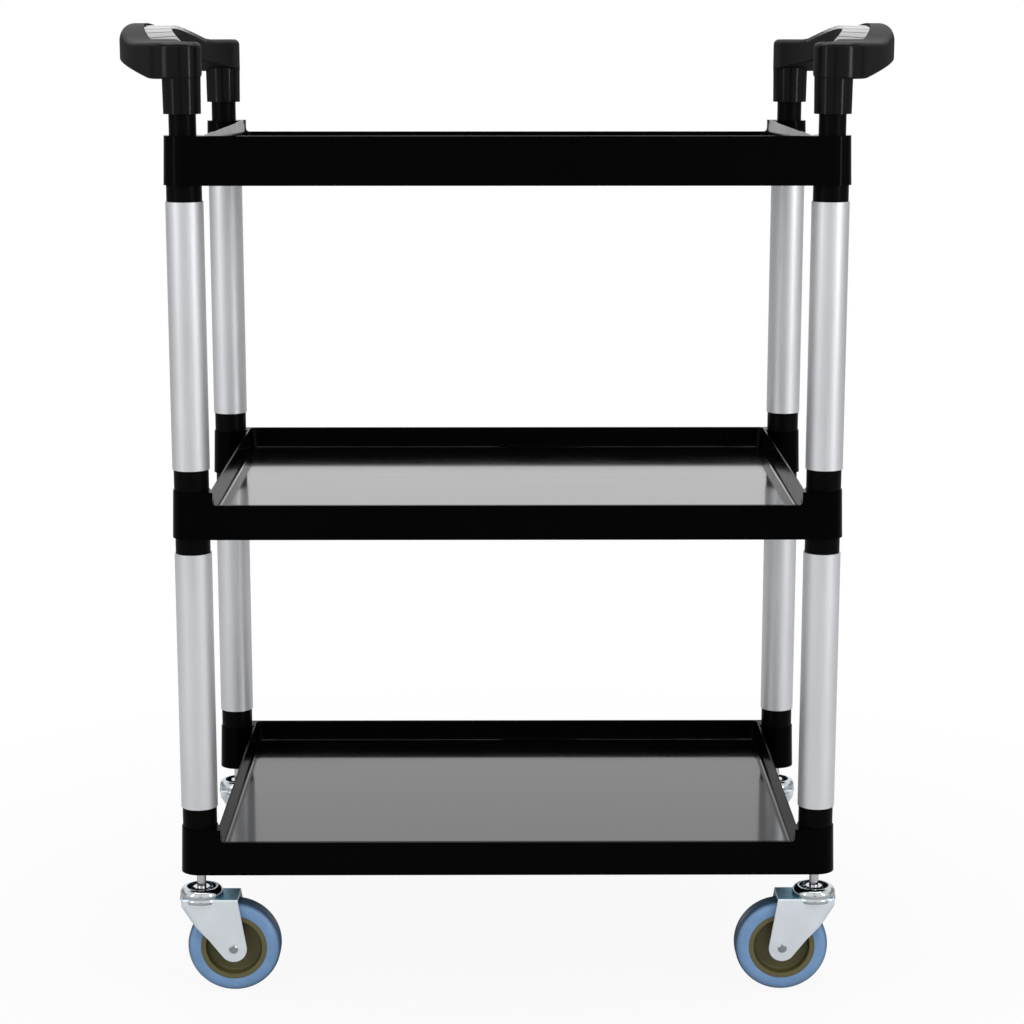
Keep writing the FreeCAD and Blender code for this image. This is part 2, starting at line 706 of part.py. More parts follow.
def is_bottom_edge(edge):
    """True for edges round the underside of the handle, arch included."""
    box = edge.BoundBox
    highest = value_of(HEAD_BASE) + value_of("grip_underside_rise")
    return box.ZMax < highest + 0.1 and not is_crossing(edge)


def is_crossing(edge):
    """True for the seams that run straight across the handle from side to side."""
    return edge.BoundBox.YLength < 0.01 and edge.BoundBox.XLength > 20


def make_handles():
    moulding = make_handle_body()

    # The recess for the ribbed pad follows the grip's inner curve and its humped top.
    depth = "( pad_recess + pad_thickness )"
    pad_outer = "grip_inner_radius + pad_width"
    under_pad = arched_bar("under_pad", f"pad_arch_radius - {depth}")
    recess_area = common("recess_area", upright_bar("recess_side", pad_outer),
                         strip("recess_ends", "pad_half_length"))
    left = cut("handle_recessed", moulding, cut("recess", recess_area, under_pad))
    document.recompute()
    keep(left, "handle_left")

    # The pad itself, with grooves square to the inner curve.
    pad_top = arched_bar("pad_top", "pad_arch_radius - pad_recess")
    blank = common("pad_blank", upright_bar("pad_side", f"{pad_outer} - pad_gap"),
                   strip("pad_ends", "pad_half_length - pad_gap"), pad_top)
    inside = upright_bar("pad_inside", "grip_inner_radius + pad_gap")
    hollowed = cut("pad_crescent", blank, inside)
    curved = cut("pad_curved", hollowed, under_pad)
    cutters = [make_groove(number) for number in range(GROOVES)]
    grooves = document.addObject("Part::Compound", "pad_cutters")
    grooves.Links = cutters
    groove_floor = arched_bar("groove_floor", "pad_arch_radius - pad_recess - pad_groove_depth")
    pad_left = cut("pad_grooved", curved, cut("pad_grooves", grooves, groove_floor))
    document.recompute()
    keep(pad_left, "handle_grip_left")

    for original, label in ((left, "handle_right"), (pad_left, "handle_grip_right")):
        mirror = document.addObject("Part::Mirroring", "mirrored_" + label)
        mirror.Source = original
        mirror.Normal = Vector(1, 0, 0)
        keep(mirror, label)


def make_groove(number):
    """A thin box from the inner curve's axis out across the grip."""
    angle = math.radians(180 + (number - (GROOVES - 1) / 2) * GROOVE_STEP_DEGREES)
    box = part("Box", f"groove_cutter_{number}",
               Length="grip_inner_radius + 2 * pad_width", Width="pad_groove_width", Height="200")
    box.Placement = Placement(Vector(0, 0, 0), Rotation(Vector(0, 0, 1), math.degrees(angle)))
    bind(box, {
        "Placement.Base.x": f"{INNER_AXIS} + {math.sin(angle):.6f} * pad_groove_width / 2",
        "Placement.Base.y": f"{-math.cos(angle):.6f} * pad_groove_width / 2",
        "Placement.Base.z": f"{HEAD_TOP} - 100",
    })
    return box


# ---- casters ----------------------------------------------------------------------------
# Each is drawn about its own swivel axis, trailing towards +X, and turned about so that all
# four trail towards the middle of the trolley.

FORK_HALF = "( fork_width / 2 )"
FORK_INSIDE = "( fork_width / 2 - sheet_thickness )"
CROWN_UNDERSIDE = "( crown_height - sheet_thickness )"
AXLE_HEIGHT = "( wheel_diameter / 2 )"
DISC_BOTTOM = "( crown_height + race_gap )"
DISC_TOP = "( crown_height + race_gap + race_disc_thickness )"
HUB_BORE = "( axle_diameter / 2 + running_clearance )"


def place_caster_piece(body, name, post):
    """Stands a piece drawn about the swivel axis under its post."""
    place(body, post_x(post[0]), post_y(post[1]), turn=0 if post[0] < 0 else 180)
    keep(body, name)


def make_stem(name, post):
    body = new_body(name)
    radius = "stem_diameter / 2"
    rivet_top = f"{CROWN_UNDERSIDE} - race_gap"
    rivet_bottom = f"{rivet_top} - stem_rivet_height"
    top = "lowest_tray_height + stem_insertion"
    revolve(body, name + "_turned", "XZ_Plane", [
        ("0", rivet_bottom),
        ("stem_rivet_radius - 2", rivet_bottom),
        ("stem_rivet_radius", f"{rivet_bottom} + 1.4"),
        ("stem_rivet_radius", rivet_top),
        (radius, rivet_top),
        (radius, DISC_BOTTOM),
        ("race_disc_radius", DISC_BOTTOM),
        ("race_disc_radius", DISC_TOP),
        (radius, DISC_TOP),
        (radius, f"{top} - 1"),
        (f"{radius} - 1", top),
        ("0", top),
    ])
    place_caster_piece(body, name, post)


def make_nut(name, post):
    """A six-sided nut on the stem, its top corners bevelled."""
    prism = part("Prism", name + "_prism", Circumradius="nut_across_flats / 1.7320508",
                 Height="nut_height")
    prism.Polygon = 6
    corner = "nut_across_flats / 1.7320508"
    cone = part("Cone", name + "_bevel", Radius1=f"{corner} + nut_height * 1.5",
                Radius2=f"{corner} - nut_chamfer", Height="nut_height")
    bore = part("Cylinder", name + "_bore", Radius="stem_diameter / 2 + fit_clearance",
                Height="nut_height")
    nut = cut(name, common(name + "_blank", prism, cone), bore)
    place(nut, post_x(post[0]), post_y(post[1]), DISC_TOP, turn=post[0] * (12 + 8 * post[1]))
    return nut


def make_swivel_cap(name, post):
    body = new_body(name)
    low, high = "crown_height", "crown_height + cap_height"
    inside = "crown_radius - cap_thickness"
    revolve(body, name + "_turned", "XZ_Plane", [
        (inside, low),
        ("crown_radius", low),
        ("crown_radius", high),
        ("cap_opening_radius", high),
        ("cap_opening_radius", f"{high} - cap_thickness"),
        (inside, f"{high} - cap_thickness"),
    ])
    outer = (value_of("crown_radius"), value_of(high))
    inner = (value_of(inside), value_of(f"{high} - cap_thickness"))
    round_edges(body, name + "_shoulder", lambda edge: is_ring(edge, *outer), "cap_shoulder_radius")
    round_edges(body, name + "_hollow", lambda edge: is_ring(edge, *inner),
                "cap_shoulder_radius - cap_thickness")
    place_caster_piece(body, name, post)


def is_ring(edge, radius, height):
    """True for a level circle about the body's own axis."""
    box = edge.BoundBox
    return abs(box.XMax - radius) < 0.02 and is_at(edge, z=height)


def make_balls(name, post):
    """The ring of bearing balls between the fork's crown, the stem's disc and the cap."""
    balls = []
    for number in range(BALLS_PER_CASTER):
        angle = 2 * math.pi * number / BALLS_PER_CASTER
        ball = part("Sphere", f"{name}_{number}", Radius="ball_diameter / 2")
        bind(ball, {
            "Placement.Base.x": f"{math.cos(angle):.6f} * ball_circle_radius",
            "Placement.Base.y": f"{math.sin(angle):.6f} * ball_circle_radius",
            "Placement.Base.z": "crown_height + ball_diameter / 2",
        })
        balls.append(ball)
    ring = document.addObject("Part::Compound", name)
    ring.Links = balls
    place(ring, post_x(post[0]), post_y(post[1]))
    keep(ring, name)


def make_fork(name, post):
    """A pressed fork: crown, leading web and two legs that sweep back to the axle."""
    body = new_body(name)
    side = new_sketch(body, name + "_side_view", "XZ_Plane")
    heel = ("fork_heel_reach", "0 - fork_heel_depth")
    draw_outline(side, [
        ("0 - fork_front_reach", "crown_height"),
        ("0 - fork_front_reach", "fork_shoulder_height"),
        ("0 - fork_knee_reach", "fork_knee_height"),
        ("fork_shin_reach", "fork_shin_height"),
        heel,
        ("crown_trailing_reach", "crown_height"),
    ])
    pad_both_ways(body, name + "_block", side, "fork_width")
    heel_x, heel_z = value_of(heel[0]), value_of(heel[1])
    half = value_of(FORK_HALF)
    round_edges(body, name + "_feet", lambda edge: is_foot(edge, heel_x, heel_z),
                "fork_foot_radius")
    top, front = value_of("crown_height"), value_of("fork_front_reach")
    shin = value_of("fork_shin_height")
    round_edges(body, name + "_nose",
                lambda edge: is_at(edge, y=half) and edge.BoundBox.XMax < 10
                and edge.BoundBox.ZMin > shin + 1 and edge.BoundBox.ZLength > 5, "fork_nose_radius")
    round_edges(body, name + "_top_bend",
                lambda edge: is_at(edge, z=top) and edge.BoundBox.XLength > 30, "fork_bend_radius")

    # The round crown with its skirt, then the hollow for the wheel.
    disc = new_sketch(body, name + "_crown_plan", "XY_Plane", "crown_height - crown_skirt")
    draw_circle(disc, "0", "0", "crown_radius")
    pad(body, name + "_crown", disc, "crown_skirt")
    hollow = new_sketch(body, name + "_hollow_section", "XZ_Plane")
    web_x = "0 - fork_front_reach + sheet_thickness"
    draw_outline(hollow, [
        (web_x, CROWN_UNDERSIDE),
        (web_x, "fork_shoulder_height + 0.8"),
        ("0 - fork_knee_reach + 1.9", "web_bottom_height + 0.4"),
        ("0 - fork_knee_reach + 1.9", "web_bottom_height"),
        ("0 - wheel_diameter / 2", "web_bottom_height"),
        ("0 - wheel_diameter / 2", "0"),
        ("wheel_diameter", "0"),
        ("wheel_diameter", CROWN_UNDERSIDE),
    ])
    pocket(body, name + "_hollow", hollow, f"2 * {FORK_INSIDE}", both_ways=True)

    holes = new_sketch(body, name + "_stem_hole_plan", "XY_Plane", "crown_height")
    draw_circle(holes, "0", "0", "stem_diameter / 2 + running_clearance")
    pocket(body, name + "_stem_hole", holes, "2 * sheet_thickness")
    axle = new_sketch(body, name + "_axle_holes_side", "XZ_Plane")
    draw_circle(axle, "caster_trail", AXLE_HEIGHT, "axle_diameter / 2 + fit_clearance")
    pocket(body, name + "_axle_holes", axle, "fork_width + 2", both_ways=True)
    place_caster_piece(body, name, post)


def is_foot(edge, heel_x, heel_z):
    """True for the edge across the fork where its front and back edges would meet."""
    box = edge.BoundBox
    across = box.YLength > 1 and box.ZLength < 0.01
    return across and abs(box.XMin - heel_x) < 0.02 and abs(box.ZMin - heel_z) < 0.02


def make_wheel_piece(name, post, section):
    """A solid turned about the axle, which runs along Y."""
    body = new_body(name)
    revolve(body, name + "_turned", "XY_Plane", section)
    trail = f"{post[0]} * ( post_spacing_length / 2 - caster_trail )"
    place(body, trail, post_y(post[1]), AXLE_HEIGHT)
    keep(body, name)
    return body


def make_axle(name, post):
    radius, head = "axle_diameter / 2", "axle_head_radius"
    end = f"( {FORK_HALF} + axle_head_thickness )"
    make_wheel_piece(name, post, [
        ("0", f"0 - {end}"),
        (f"{head} - 1", f"0 - {end}"),
        (head, f"0 - {FORK_HALF} - 0.4"),
        (head, f"0 - {FORK_HALF}"),
        (radius, f"0 - {FORK_HALF}"),
        (radius, FORK_HALF),
        (head, FORK_HALF),
        (head, f"{FORK_HALF} + 0.4"),
        (f"{head} - 1", end),
        ("0", end),
    ])


def make_hub(name, post):
    boss, web = f"( {FORK_INSIDE} - hub_side_clearance )", "hub_web_thickness / 2"
    rim, recess = "hub_rim_width / 2", "hub_recess_radius"
    body = make_wheel_piece(name, post, [
        (HUB_BORE, f"0 - {boss}"),
        ("hub_boss_radius - 1", f"0 - {boss}"),
        ("hub_boss_radius", f"0 - {web}"),
        (f"{recess} - 1", f"0 - {web}"),
        (recess, f"0 - {rim}"),
        ("hub_rim_radius", f"0 - {rim}"),
        ("hub_rim_radius", rim),
        (recess, rim),
        (f"{recess} - 1", web),
        ("hub_boss_radius", web),
        ("hub_boss_radius - 1", boss),
        (HUB_BORE, boss),
    ])
    web_level = value_of(web)
    round_edges(body, name + "_dish", lambda edge: is_at(edge, y=web_level), "hub_dish_radius")


def make_tyre(name, post):
    half = "wheel_width / 2"
    body = make_wheel_piece(name, post, [
        ("hub_rim_radius", f"0 - {half} + 0.5"),
        ("hub_rim_radius + 4", f"0 - {half}"),
        (AXLE_HEIGHT, f"0 - {half}"),
        (AXLE_HEIGHT, half),
        ("hub_rim_radius + 4", half),
        ("hub_rim_radius", f"{half} - 0.5"),
    ])
    tread, side = value_of(AXLE_HEIGHT), value_of(half)
    round_edges(body, name + "_shoulders",
                lambda edge: is_at(edge, y=side) and abs(edge.BoundBox.XMax - tread) < 0.02,
                "tyre_shoulder_radius")


# ---- the trolley ------------------------------------------------------------------------

LOWEST, MIDDLE = "lowest_tray_height", "( lowest_tray_height + tier_pitch )"
HIGHEST = "( lowest_tray_height + 2 * tier_pitch )"
TUBE_LENGTH = "tier_pitch - tray_height - collar_above_tray - collar_below_tray"

for name, height, turn in (("tray_bottom", LOWEST, 0), ("tray_middle", MIDDLE, 0),
                           ("tray_top", HIGHEST, 180)):
    make_tray(name, height, turn)
for post_name, post in POSTS.items():
    make_tube("tube_lower_" + post_name, post, f"{LOWEST} + tray_height + collar_above_tray",
              TUBE_LENGTH)
    make_tube("tube_upper_" + post_name, post, f"{MIDDLE} + tray_height + collar_above_tray",
              TUBE_LENGTH)
    make_bottom_connector("bottom_connector_" + post_name, post)
    make_connector("middle_connector_" + post_name, post, MIDDLE,
                   "tray_height + collar_above_tray + plug_insertion - 5")
    make_sleeve("middle_sleeve_" + post_name, post, f"{MIDDLE} + tray_height")
    make_connector("top_connector_" + post_name, post, HIGHEST,
                   "tray_height + neck_showing + neck_insertion")
make_handles()
for post_name, post in POSTS.items():
    make_stem("caster_stem_" + post_name, post)
    make_swivel_cap("swivel_cap_" + post_name, post)
    make_balls("bearing_balls_" + post_name, post)
    make_fork("fork_" + post_name, post)
    make_axle("axle_" + post_name, post)
    make_hub("hub_" + post_name, post)
    make_tyre("tyre_" + post_name, post)
nuts = document.addObject("Part::Compound", "stem_nuts")
nuts.Links = [make_nut("nut_" + post_name, post) for post_name, post in POSTS.items()]
keep(nuts, "stem_nuts")

document.recompute()
for thing in document.Objects:
    if "Invalid" in thing.State or "Error" in thing.State:
        raise RuntimeError(f"{thing.Name} did not compute: {thing.State}")
os.makedirs("parts", exist_ok=True)
for thing in finished:
    if thing.Shape.isNull() or not thing.Shape.isValid():
        raise RuntimeError(f"{thing.Label} has no valid shape")
    thing.Shape.exportStep(f"parts/{thing.Label}.step")
print(len(finished), "sub-parts written")
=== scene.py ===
import math

import bmesh
import bpy
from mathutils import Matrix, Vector


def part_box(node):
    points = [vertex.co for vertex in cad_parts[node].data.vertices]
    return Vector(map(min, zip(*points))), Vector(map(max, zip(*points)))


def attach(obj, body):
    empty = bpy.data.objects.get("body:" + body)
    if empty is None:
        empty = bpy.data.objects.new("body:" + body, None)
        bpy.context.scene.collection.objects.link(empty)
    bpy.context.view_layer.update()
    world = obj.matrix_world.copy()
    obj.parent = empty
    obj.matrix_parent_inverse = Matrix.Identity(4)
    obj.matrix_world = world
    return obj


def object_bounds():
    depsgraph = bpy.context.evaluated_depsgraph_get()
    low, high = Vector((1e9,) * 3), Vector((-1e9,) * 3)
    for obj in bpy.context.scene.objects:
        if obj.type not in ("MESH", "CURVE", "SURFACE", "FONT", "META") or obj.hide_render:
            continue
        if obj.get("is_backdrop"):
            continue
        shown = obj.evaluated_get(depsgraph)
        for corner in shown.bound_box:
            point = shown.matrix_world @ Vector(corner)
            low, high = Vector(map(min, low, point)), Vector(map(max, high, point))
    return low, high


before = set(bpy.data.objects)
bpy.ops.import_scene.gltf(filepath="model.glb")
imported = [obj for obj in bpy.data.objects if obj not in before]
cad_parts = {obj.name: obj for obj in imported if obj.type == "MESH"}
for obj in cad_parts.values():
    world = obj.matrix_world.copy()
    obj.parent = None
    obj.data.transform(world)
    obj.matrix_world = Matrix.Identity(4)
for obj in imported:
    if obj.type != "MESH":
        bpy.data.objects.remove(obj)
cad_low, cad_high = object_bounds()
POSTS = ("front_left", "front_right", "rear_left", "rear_right")

# ---- Camera --------------------------------------------------------------------------------
# It stands in front of the low-lipped side, level with the handles and a little left of the
# middle, and looks down at the middle of the trolley.
eye = (-0.0076, -2.7425, 1.031)
degrees_down, degrees_aside = 11.2, 0.27
camera = bpy.data.cameras.new("camera")
camera.lens = 87.2
camera.sensor_width = 36.0
viewer = bpy.data.objects.new("camera", camera)
viewer.location = eye
viewer.rotation_euler = (math.radians(90 - degrees_down), 0, math.radians(-degrees_aside))
bpy.context.collection.objects.link(viewer)
bpy.context.scene.camera = viewer


# ---- Trays ---------------------------------------------------------------------------------
# One glossy black moulding, used three times, in polypropylene with a polished tool on the
# floor side. The floor shows faint sink marks over the ribs under it, and light scuffs.
def new_group(name, outputs, **inputs):
    """A shader node group with float inputs, and outputs given as a name and a socket kind."""
    group = bpy.data.node_groups.new(name, "ShaderNodeTree")
    for label, default in inputs.items():
        socket = group.interface.new_socket(label, in_out="INPUT", socket_type="NodeSocketFloat")
        socket.default_value = default
    for label, kind in outputs:
        group.interface.new_socket(label, in_out="OUTPUT", socket_type=kind)
    return group, group.nodes.new("NodeGroupInput"), group.nodes.new("NodeGroupOutput")


def noise(tree, coordinates, scale, detail=4.0, roughness=0.55):
    node = tree.nodes.new("ShaderNodeTexNoise")
    node.inputs["Detail"].default_value = detail
    node.inputs["Roughness"].default_value = roughness
    if isinstance(scale, (int, float)):
        node.inputs["Scale"].default_value = scale
    else:
        tree.links.new(scale, node.inputs["Scale"])
    tree.links.new(coordinates, node.inputs["Vector"])
    return node.outputs["Fac"]


def remap(tree, value, low, high, to_low, to_high):
    """Stretches a range of values onto another; each limit is a number or a socket."""
    node = tree.nodes.new("ShaderNodeMapRange")
    limits = {"Value": value, "From Min": low, "From Max": high,
              "To Min": to_low, "To Max": to_high}
    for label, limit in limits.items():
        if isinstance(limit, (int, float)):
            node.inputs[label].default_value = limit
        else:
            tree.links.new(limit, node.inputs[label])
    return node.outputs["Result"]


def calculate(tree, operation, first, second=0.0):
    node = tree.nodes.new("ShaderNodeMath")
    node.operation = operation
    for socket, value in zip(node.inputs, (first, second)):
        if isinstance(value, (int, float)):
            socket.default_value = value
        else:
            tree.links.new(value, socket)
    return node.outputs[0]


def stretched(tree, x, y, z):
    """Object coordinates scaled by axis, so that a texture runs along the piece."""
    coordinates = tree.nodes.new("ShaderNodeTexCoord")
    mapping = tree.nodes.new("ShaderNodeMapping")
    mapping.inputs["Scale"].default_value = (x, y, z)
    tree.links.new(coordinates.outputs["Object"], mapping.inputs["Vector"])
    return mapping.outputs["Vector"]


def moulded_surface():
    """Handling marks of moulded plastic: patchy roughness, slight mottling and a fine skin."""
    group, given, result = new_group(
        "moulded_surface",
        [("roughness", "NodeSocketFloat"), ("tint", "NodeSocketFloat"),
         ("height", "NodeSocketFloat")],
        smoothest=0.1, roughest=0.2, grain_scale=900.0)
    even = stretched(group, 1, 1, 1)
    patches = noise(group, even, 7.0, 5.0)
    streaks = noise(group, stretched(group, 3, 40, 40), 4.0, 3.0)
    worn = calculate(group, "MULTIPLY", calculate(group, "ADD", patches, streaks), 0.5)
    grain = noise(group, even, given.outputs["grain_scale"], 2.0)
    group.links.new(remap(group, worn, 0.35, 0.65, given.outputs["smoothest"],
                          given.outputs["roughest"]), result.inputs["roughness"])
    group.links.new(remap(group, patches, 0.3, 0.7, 0.75, 1.25), result.inputs["tint"])
    group.links.new(grain, result.inputs["height"])
    return group


MOULDED = moulded_surface()


def new_material(name):
    material = bpy.data.materials.new(name)
    material.use_nodes = True
    return material, material.node_tree, material.node_tree.nodes["Principled BSDF"]


def place_group(tree, group, **values):
    node = tree.nodes.new("ShaderNodeGroup")
    node.node_tree = group
    for label, value in values.items():
        node.inputs[label].default_value = value
    return node.outputs


def tinted(tree, shader, colour, tint):
    """The base colour made lighter and darker by a mottling value round one."""
    node = tree.nodes.new("ShaderNodeMix")
    node.data_type = "RGBA"
    node.blend_type = "MULTIPLY"
    node.inputs["Factor"].default_value = 1.0
    node.inputs["A"].default_value = (*colour, 1)
    tree.links.new(tint, node.inputs["B"])
    tree.links.new(node.outputs["Result"], shader.inputs["Base Color"])


def component(tree, kind, output, axis):
    """One part of a direction or place that a node of the given kind puts out."""
    source = tree.nodes.new(kind)
    split = tree.nodes.new("ShaderNodeSeparateXYZ")
    tree.links.new(source.outputs[output], split.inputs["Vector"])
    return split.outputs[axis]


def bump(tree, shader, height, strength, distance):
    node = tree.nodes.new("ShaderNodeBump")
    node.inputs["Strength"].default_value = strength
    node.inputs["Distance"].default_value = distance
    tree.links.new(height, node.inputs["Height"])
    tree.links.new(node.outputs["Normal"], shader.inputs["Normal"])
    return node


def moulded_plastic(name, colour, smoothest, roughest, grain, gloss):
    material, tree, shader = new_material(name)
    skin = place_group(tree, MOULDED, smoothest=smoothest, roughest=roughest, grain_scale=900.0)
    tinted(tree, shader, colour, skin["tint"])
    tree.links.new(skin["roughness"], shader.inputs["Roughness"])
    shader.inputs["IOR"].default_value = 1.5
    shader.inputs["Specular IOR Level"].default_value = gloss
    bump(tree, shader, skin["height"], grain, 0.0002)
    return material


def dress(node, material):
    """Gives a piece of the frame its finish."""
    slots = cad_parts[node].material_slots
    for slot in slots:
        slot.link = "OBJECT"
        slot.material = material


def sink_marks():
    """Shallow lines in a tray's floor, over the ribs under it."""
    group, given, result = new_group("sink_marks", [("height", "NodeSocketFloat")],
                                     across=0.088, along=0.080, half_width=0.004)
    coordinates = group.nodes.new("ShaderNodeTexCoord")
    split = group.nodes.new("ShaderNodeSeparateXYZ")
    group.links.new(coordinates.outputs["Object"], split.inputs["Vector"])
    lines = []
    for axis, pitch in (("X", "across"), ("Y", "along")):
        period = given.outputs[pitch]
        half = calculate(group, "MULTIPLY", period, 0.5)
        shifted = calculate(group, "ADD", split.outputs[axis], half)
        away = calculate(group, "ABSOLUTE",
                         calculate(group, "SUBTRACT",
                                   calculate(group, "FLOORED_MODULO", shifted, period), half))
        lines.append(remap(group, away, 0.0, given.outputs["half_width"], 0.0, 1.0))
    group.links.new(calculate(group, "MINIMUM", lines[0], lines[1]), result.inputs["height"])
    return group


SINKS = sink_marks()


def polished_floor():
    """One on a tray's floor, where the tool is polished, and none on its walls and rim."""
    group, given, result = new_group("polished_floor", [("mask", "NodeSocketFloat")], level=0.0)
    facing_up = component(group, "ShaderNodeNewGeometry", "Normal", "Z")
    place = group.nodes.new("ShaderNodeSeparateXYZ")
    group.links.new(stretched(group, 1, 1, 1), place.inputs["Vector"])
    level = remap(group, facing_up, 0.7, 0.95, 0.0, 1.0)
    above = calculate(group, "SUBTRACT", place.outputs["Z"], given.outputs["level"])
    low = remap(group, above, 0.001, 0.003, 1.0, 0.0)
    group.links.new(calculate(group, "MULTIPLY", level, low), result.inputs["mask"])
    return group


POLISHED = polished_floor()
floor_rise = 0.0264
tray_black = (0.0008, 0.0009, 0.0011)


def tray_plastic(tray, polish):
    material = moulded_plastic(tray + "_plastic", tray_black, 0.10, 0.20, 0.05, 0.03)
    tree = material.node_tree
    shader = tree.nodes["Principled BSDF"]
    shader.inputs["Coat IOR"].default_value = 1.72
    shader.inputs["Coat Roughness"].default_value = 0.07
    fine = shader.inputs["Normal"].links[0].from_node
    sinks = place_group(tree, SINKS)
    wide = bump(tree, shader, sinks["height"], 0.12, 0.0006)
    tree.links.new(fine.outputs["Normal"], wide.inputs["Normal"])
    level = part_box(tray)[0][2] + floor_rise
    mask = place_group(tree, POLISHED, level=level)["mask"]
    tree.links.new(calculate(tree, "MULTIPLY", mask, polish), shader.inputs["Coat Weight"])
    return material


for tray, polish in (("tray_bottom", 0.8), ("tray_middle", 1.0), ("tray_top", 0.9)):
    dress(tray, tray_plastic(tray, polish))


# ---- Post tubes ----------------------------------------------------------------------------
# Extruded aluminium, satin anodised. The drawing die leaves fine lines along each tube, and
# the etch before anodising a soft, slightly uneven sheen.
def drawn_metal():
    group, given, result = new_group(
        "drawn_metal", [("roughness", "NodeSocketFloat"), ("tint", "NodeSocketFloat"),
                        ("height", "NodeSocketFloat")], smoothest=0.3, roughest=0.4)
    lines = noise(group, stretched(group, 1, 1, 0.01), 1400.0, 2.0)
    cloud = noise(group, stretched(group, 1, 1, 0.35), 14.0, 3.0)
    group.links.new(remap(group, lines, 0.3, 0.7, given.outputs["smoothest"],
                          given.outputs["roughest"]), result.inputs["roughness"])
    group.links.new(remap(group, cloud, 0.3, 0.7, 0.94, 1.05), result.inputs["tint"])
    group.links.new(lines, result.inputs["height"])
    return group


def metal(name, colour, smoothest, roughest, relief):
    material, tree, shader = new_material(name)
    finish = place_group(tree, DRAWN, smoothest=smoothest, roughest=roughest)
    tinted(tree, shader, colour, finish["tint"])
    tree.links.new(finish["roughness"], shader.inputs["Roughness"])
    shader.inputs["Metallic"].default_value = 1.0
    bump(tree, shader, finish["height"], relief, 0.00005)
    return material


DRAWN = drawn_metal()
tube_metal = metal("anodised_aluminium", (0.83, 0.845, 0.87), 0.42, 0.52, 0.12)
for post in POSTS:
    dress("tube_lower_" + post, tube_metal)
    dress("tube_upper_" + post, tube_metal)


# ---- Post connectors -----------------------------------------------------------------------
# Round plugs and sleeves, moulded in black nylon. They grip the tubes from inside
# and show only as plain satin collars above and below each tray.
connector_black = (0.0014, 0.0014, 0.0017)
connector_plastic = moulded_plastic("connector_plastic", connector_black, 0.28, 0.4, 0.1, 0.05)
for post in POSTS:
    dress("bottom_connector_" + post, connector_plastic)
    dress("middle_connector_" + post, connector_plastic)
    dress("middle_sleeve_" + post, connector_plastic)
    dress("top_connector_" + post, connector_plastic)


# ---- Push handles --------------------------------------------------------------------------
# Arched, crescent-shaped mouldings in satin black plastic, pressed over the upper necks.
# The ribbed pads let into their tops are a harder plastic, moulded to a high gloss.
handle_black = (0.002, 0.0021, 0.0026)
handle_plastic = moulded_plastic("handle_plastic", handle_black, 0.14, 0.2, 0.12, 0.15)


def dulled_rim(material, dull):
    """The moulding is worn matt where it turns away, fully at its ends and less on top."""
    tree = material.node_tree
    shader = tree.nodes["Principled BSDF"]
    polished = shader.inputs["Roughness"].links[0].from_socket
    turned = tree.nodes.new("ShaderNodeLayerWeight")
    turned.inputs["Blend"].default_value = 0.5
    facing_up = component(tree, "ShaderNodeNewGeometry", "Normal", "Z")
    ends = remap(tree, turned.outputs["Facing"], 0.35, 0.7, 0.0, 1.0)
    sides = remap(tree, facing_up, 0.3, 0.7, 1.0, 0.6)
    mix = tree.nodes.new("ShaderNodeMix")
    tree.links.new(calculate(tree, "MULTIPLY", ends, sides), mix.inputs["Factor"])
    tree.links.new(polished, mix.inputs["A"])
    mix.inputs["B"].default_value = dull
    tree.links.new(mix.outputs["Result"], shader.inputs["Roughness"])


dulled_rim(handle_plastic, 0.75)
pad_black = (0.012, 0.0125, 0.0135)
pad_plastic = moulded_plastic("pad_plastic", pad_black, 0.12, 0.2, 0.15, 1.0)
pad_gloss = pad_plastic.node_tree.nodes["Principled BSDF"].inputs
pad_gloss["Coat Weight"].default_value = 1.0
pad_gloss["Coat Roughness"].default_value = 0.12
for side in ("left", "right"):
    dress("handle_" + side, handle_plastic)
    dress("handle_grip_" + side, pad_plastic)


# ---- Casters: stems, nuts, caps and forks ----------------------------------------------------
# Pressed and turned steel with bright zinc plating. The pressed sheet keeps a slight ripple,
# and the plating a patchy shine. The forks' level tops carry a painted blue reflection.
def plated_steel():
    group, given, result = new_group(
        "plated_steel", [("roughness", "NodeSocketFloat"), ("tint", "NodeSocketFloat"),
                         ("height", "NodeSocketFloat")], smoothest=0.12, roughest=0.3)
    even = stretched(group, 1, 1, 1)
    ripple = noise(group, even, 35.0, 1.0)
    spangle = noise(group, even, 160.0, 3.0)
    group.links.new(remap(group, spangle, 0.3, 0.7, given.outputs["smoothest"],
                          given.outputs["roughest"]), result.inputs["roughness"])
    group.links.new(remap(group, ripple, 0.3, 0.7, 0.96, 1.03), result.inputs["tint"])
    group.links.new(ripple, result.inputs["height"])
    return group


PLATED = plated_steel()


def plated(name, colour, smoothest, roughest, ripple):
    material, tree, shader = new_material(name)
    finish = place_group(tree, PLATED, smoothest=smoothest, roughest=roughest)
    tinted(tree, shader, colour, finish["tint"])
    tree.links.new(finish["roughness"], shader.inputs["Roughness"])
    shader.inputs["Metallic"].default_value = 1.0
    bump(tree, shader, finish["height"], ripple, 0.0006)
    return material


stem_steel = plated("stem_steel", (0.72, 0.73, 0.75), 0.16, 0.3, 0.05)
cap_steel = plated("cap_steel", (0.60, 0.64, 0.67), 0.07, 0.13, 0.05)
axle_steel = plated("axle_steel", (0.42, 0.44, 0.47), 0.2, 0.34, 0.05)
fork_steel = plated("fork_steel", (0.88, 0.94, 0.99), 0.36, 0.46, 0.05)
fork_steel.node_tree.nodes["Principled BSDF"].inputs["Metallic"].default_value = 0.6


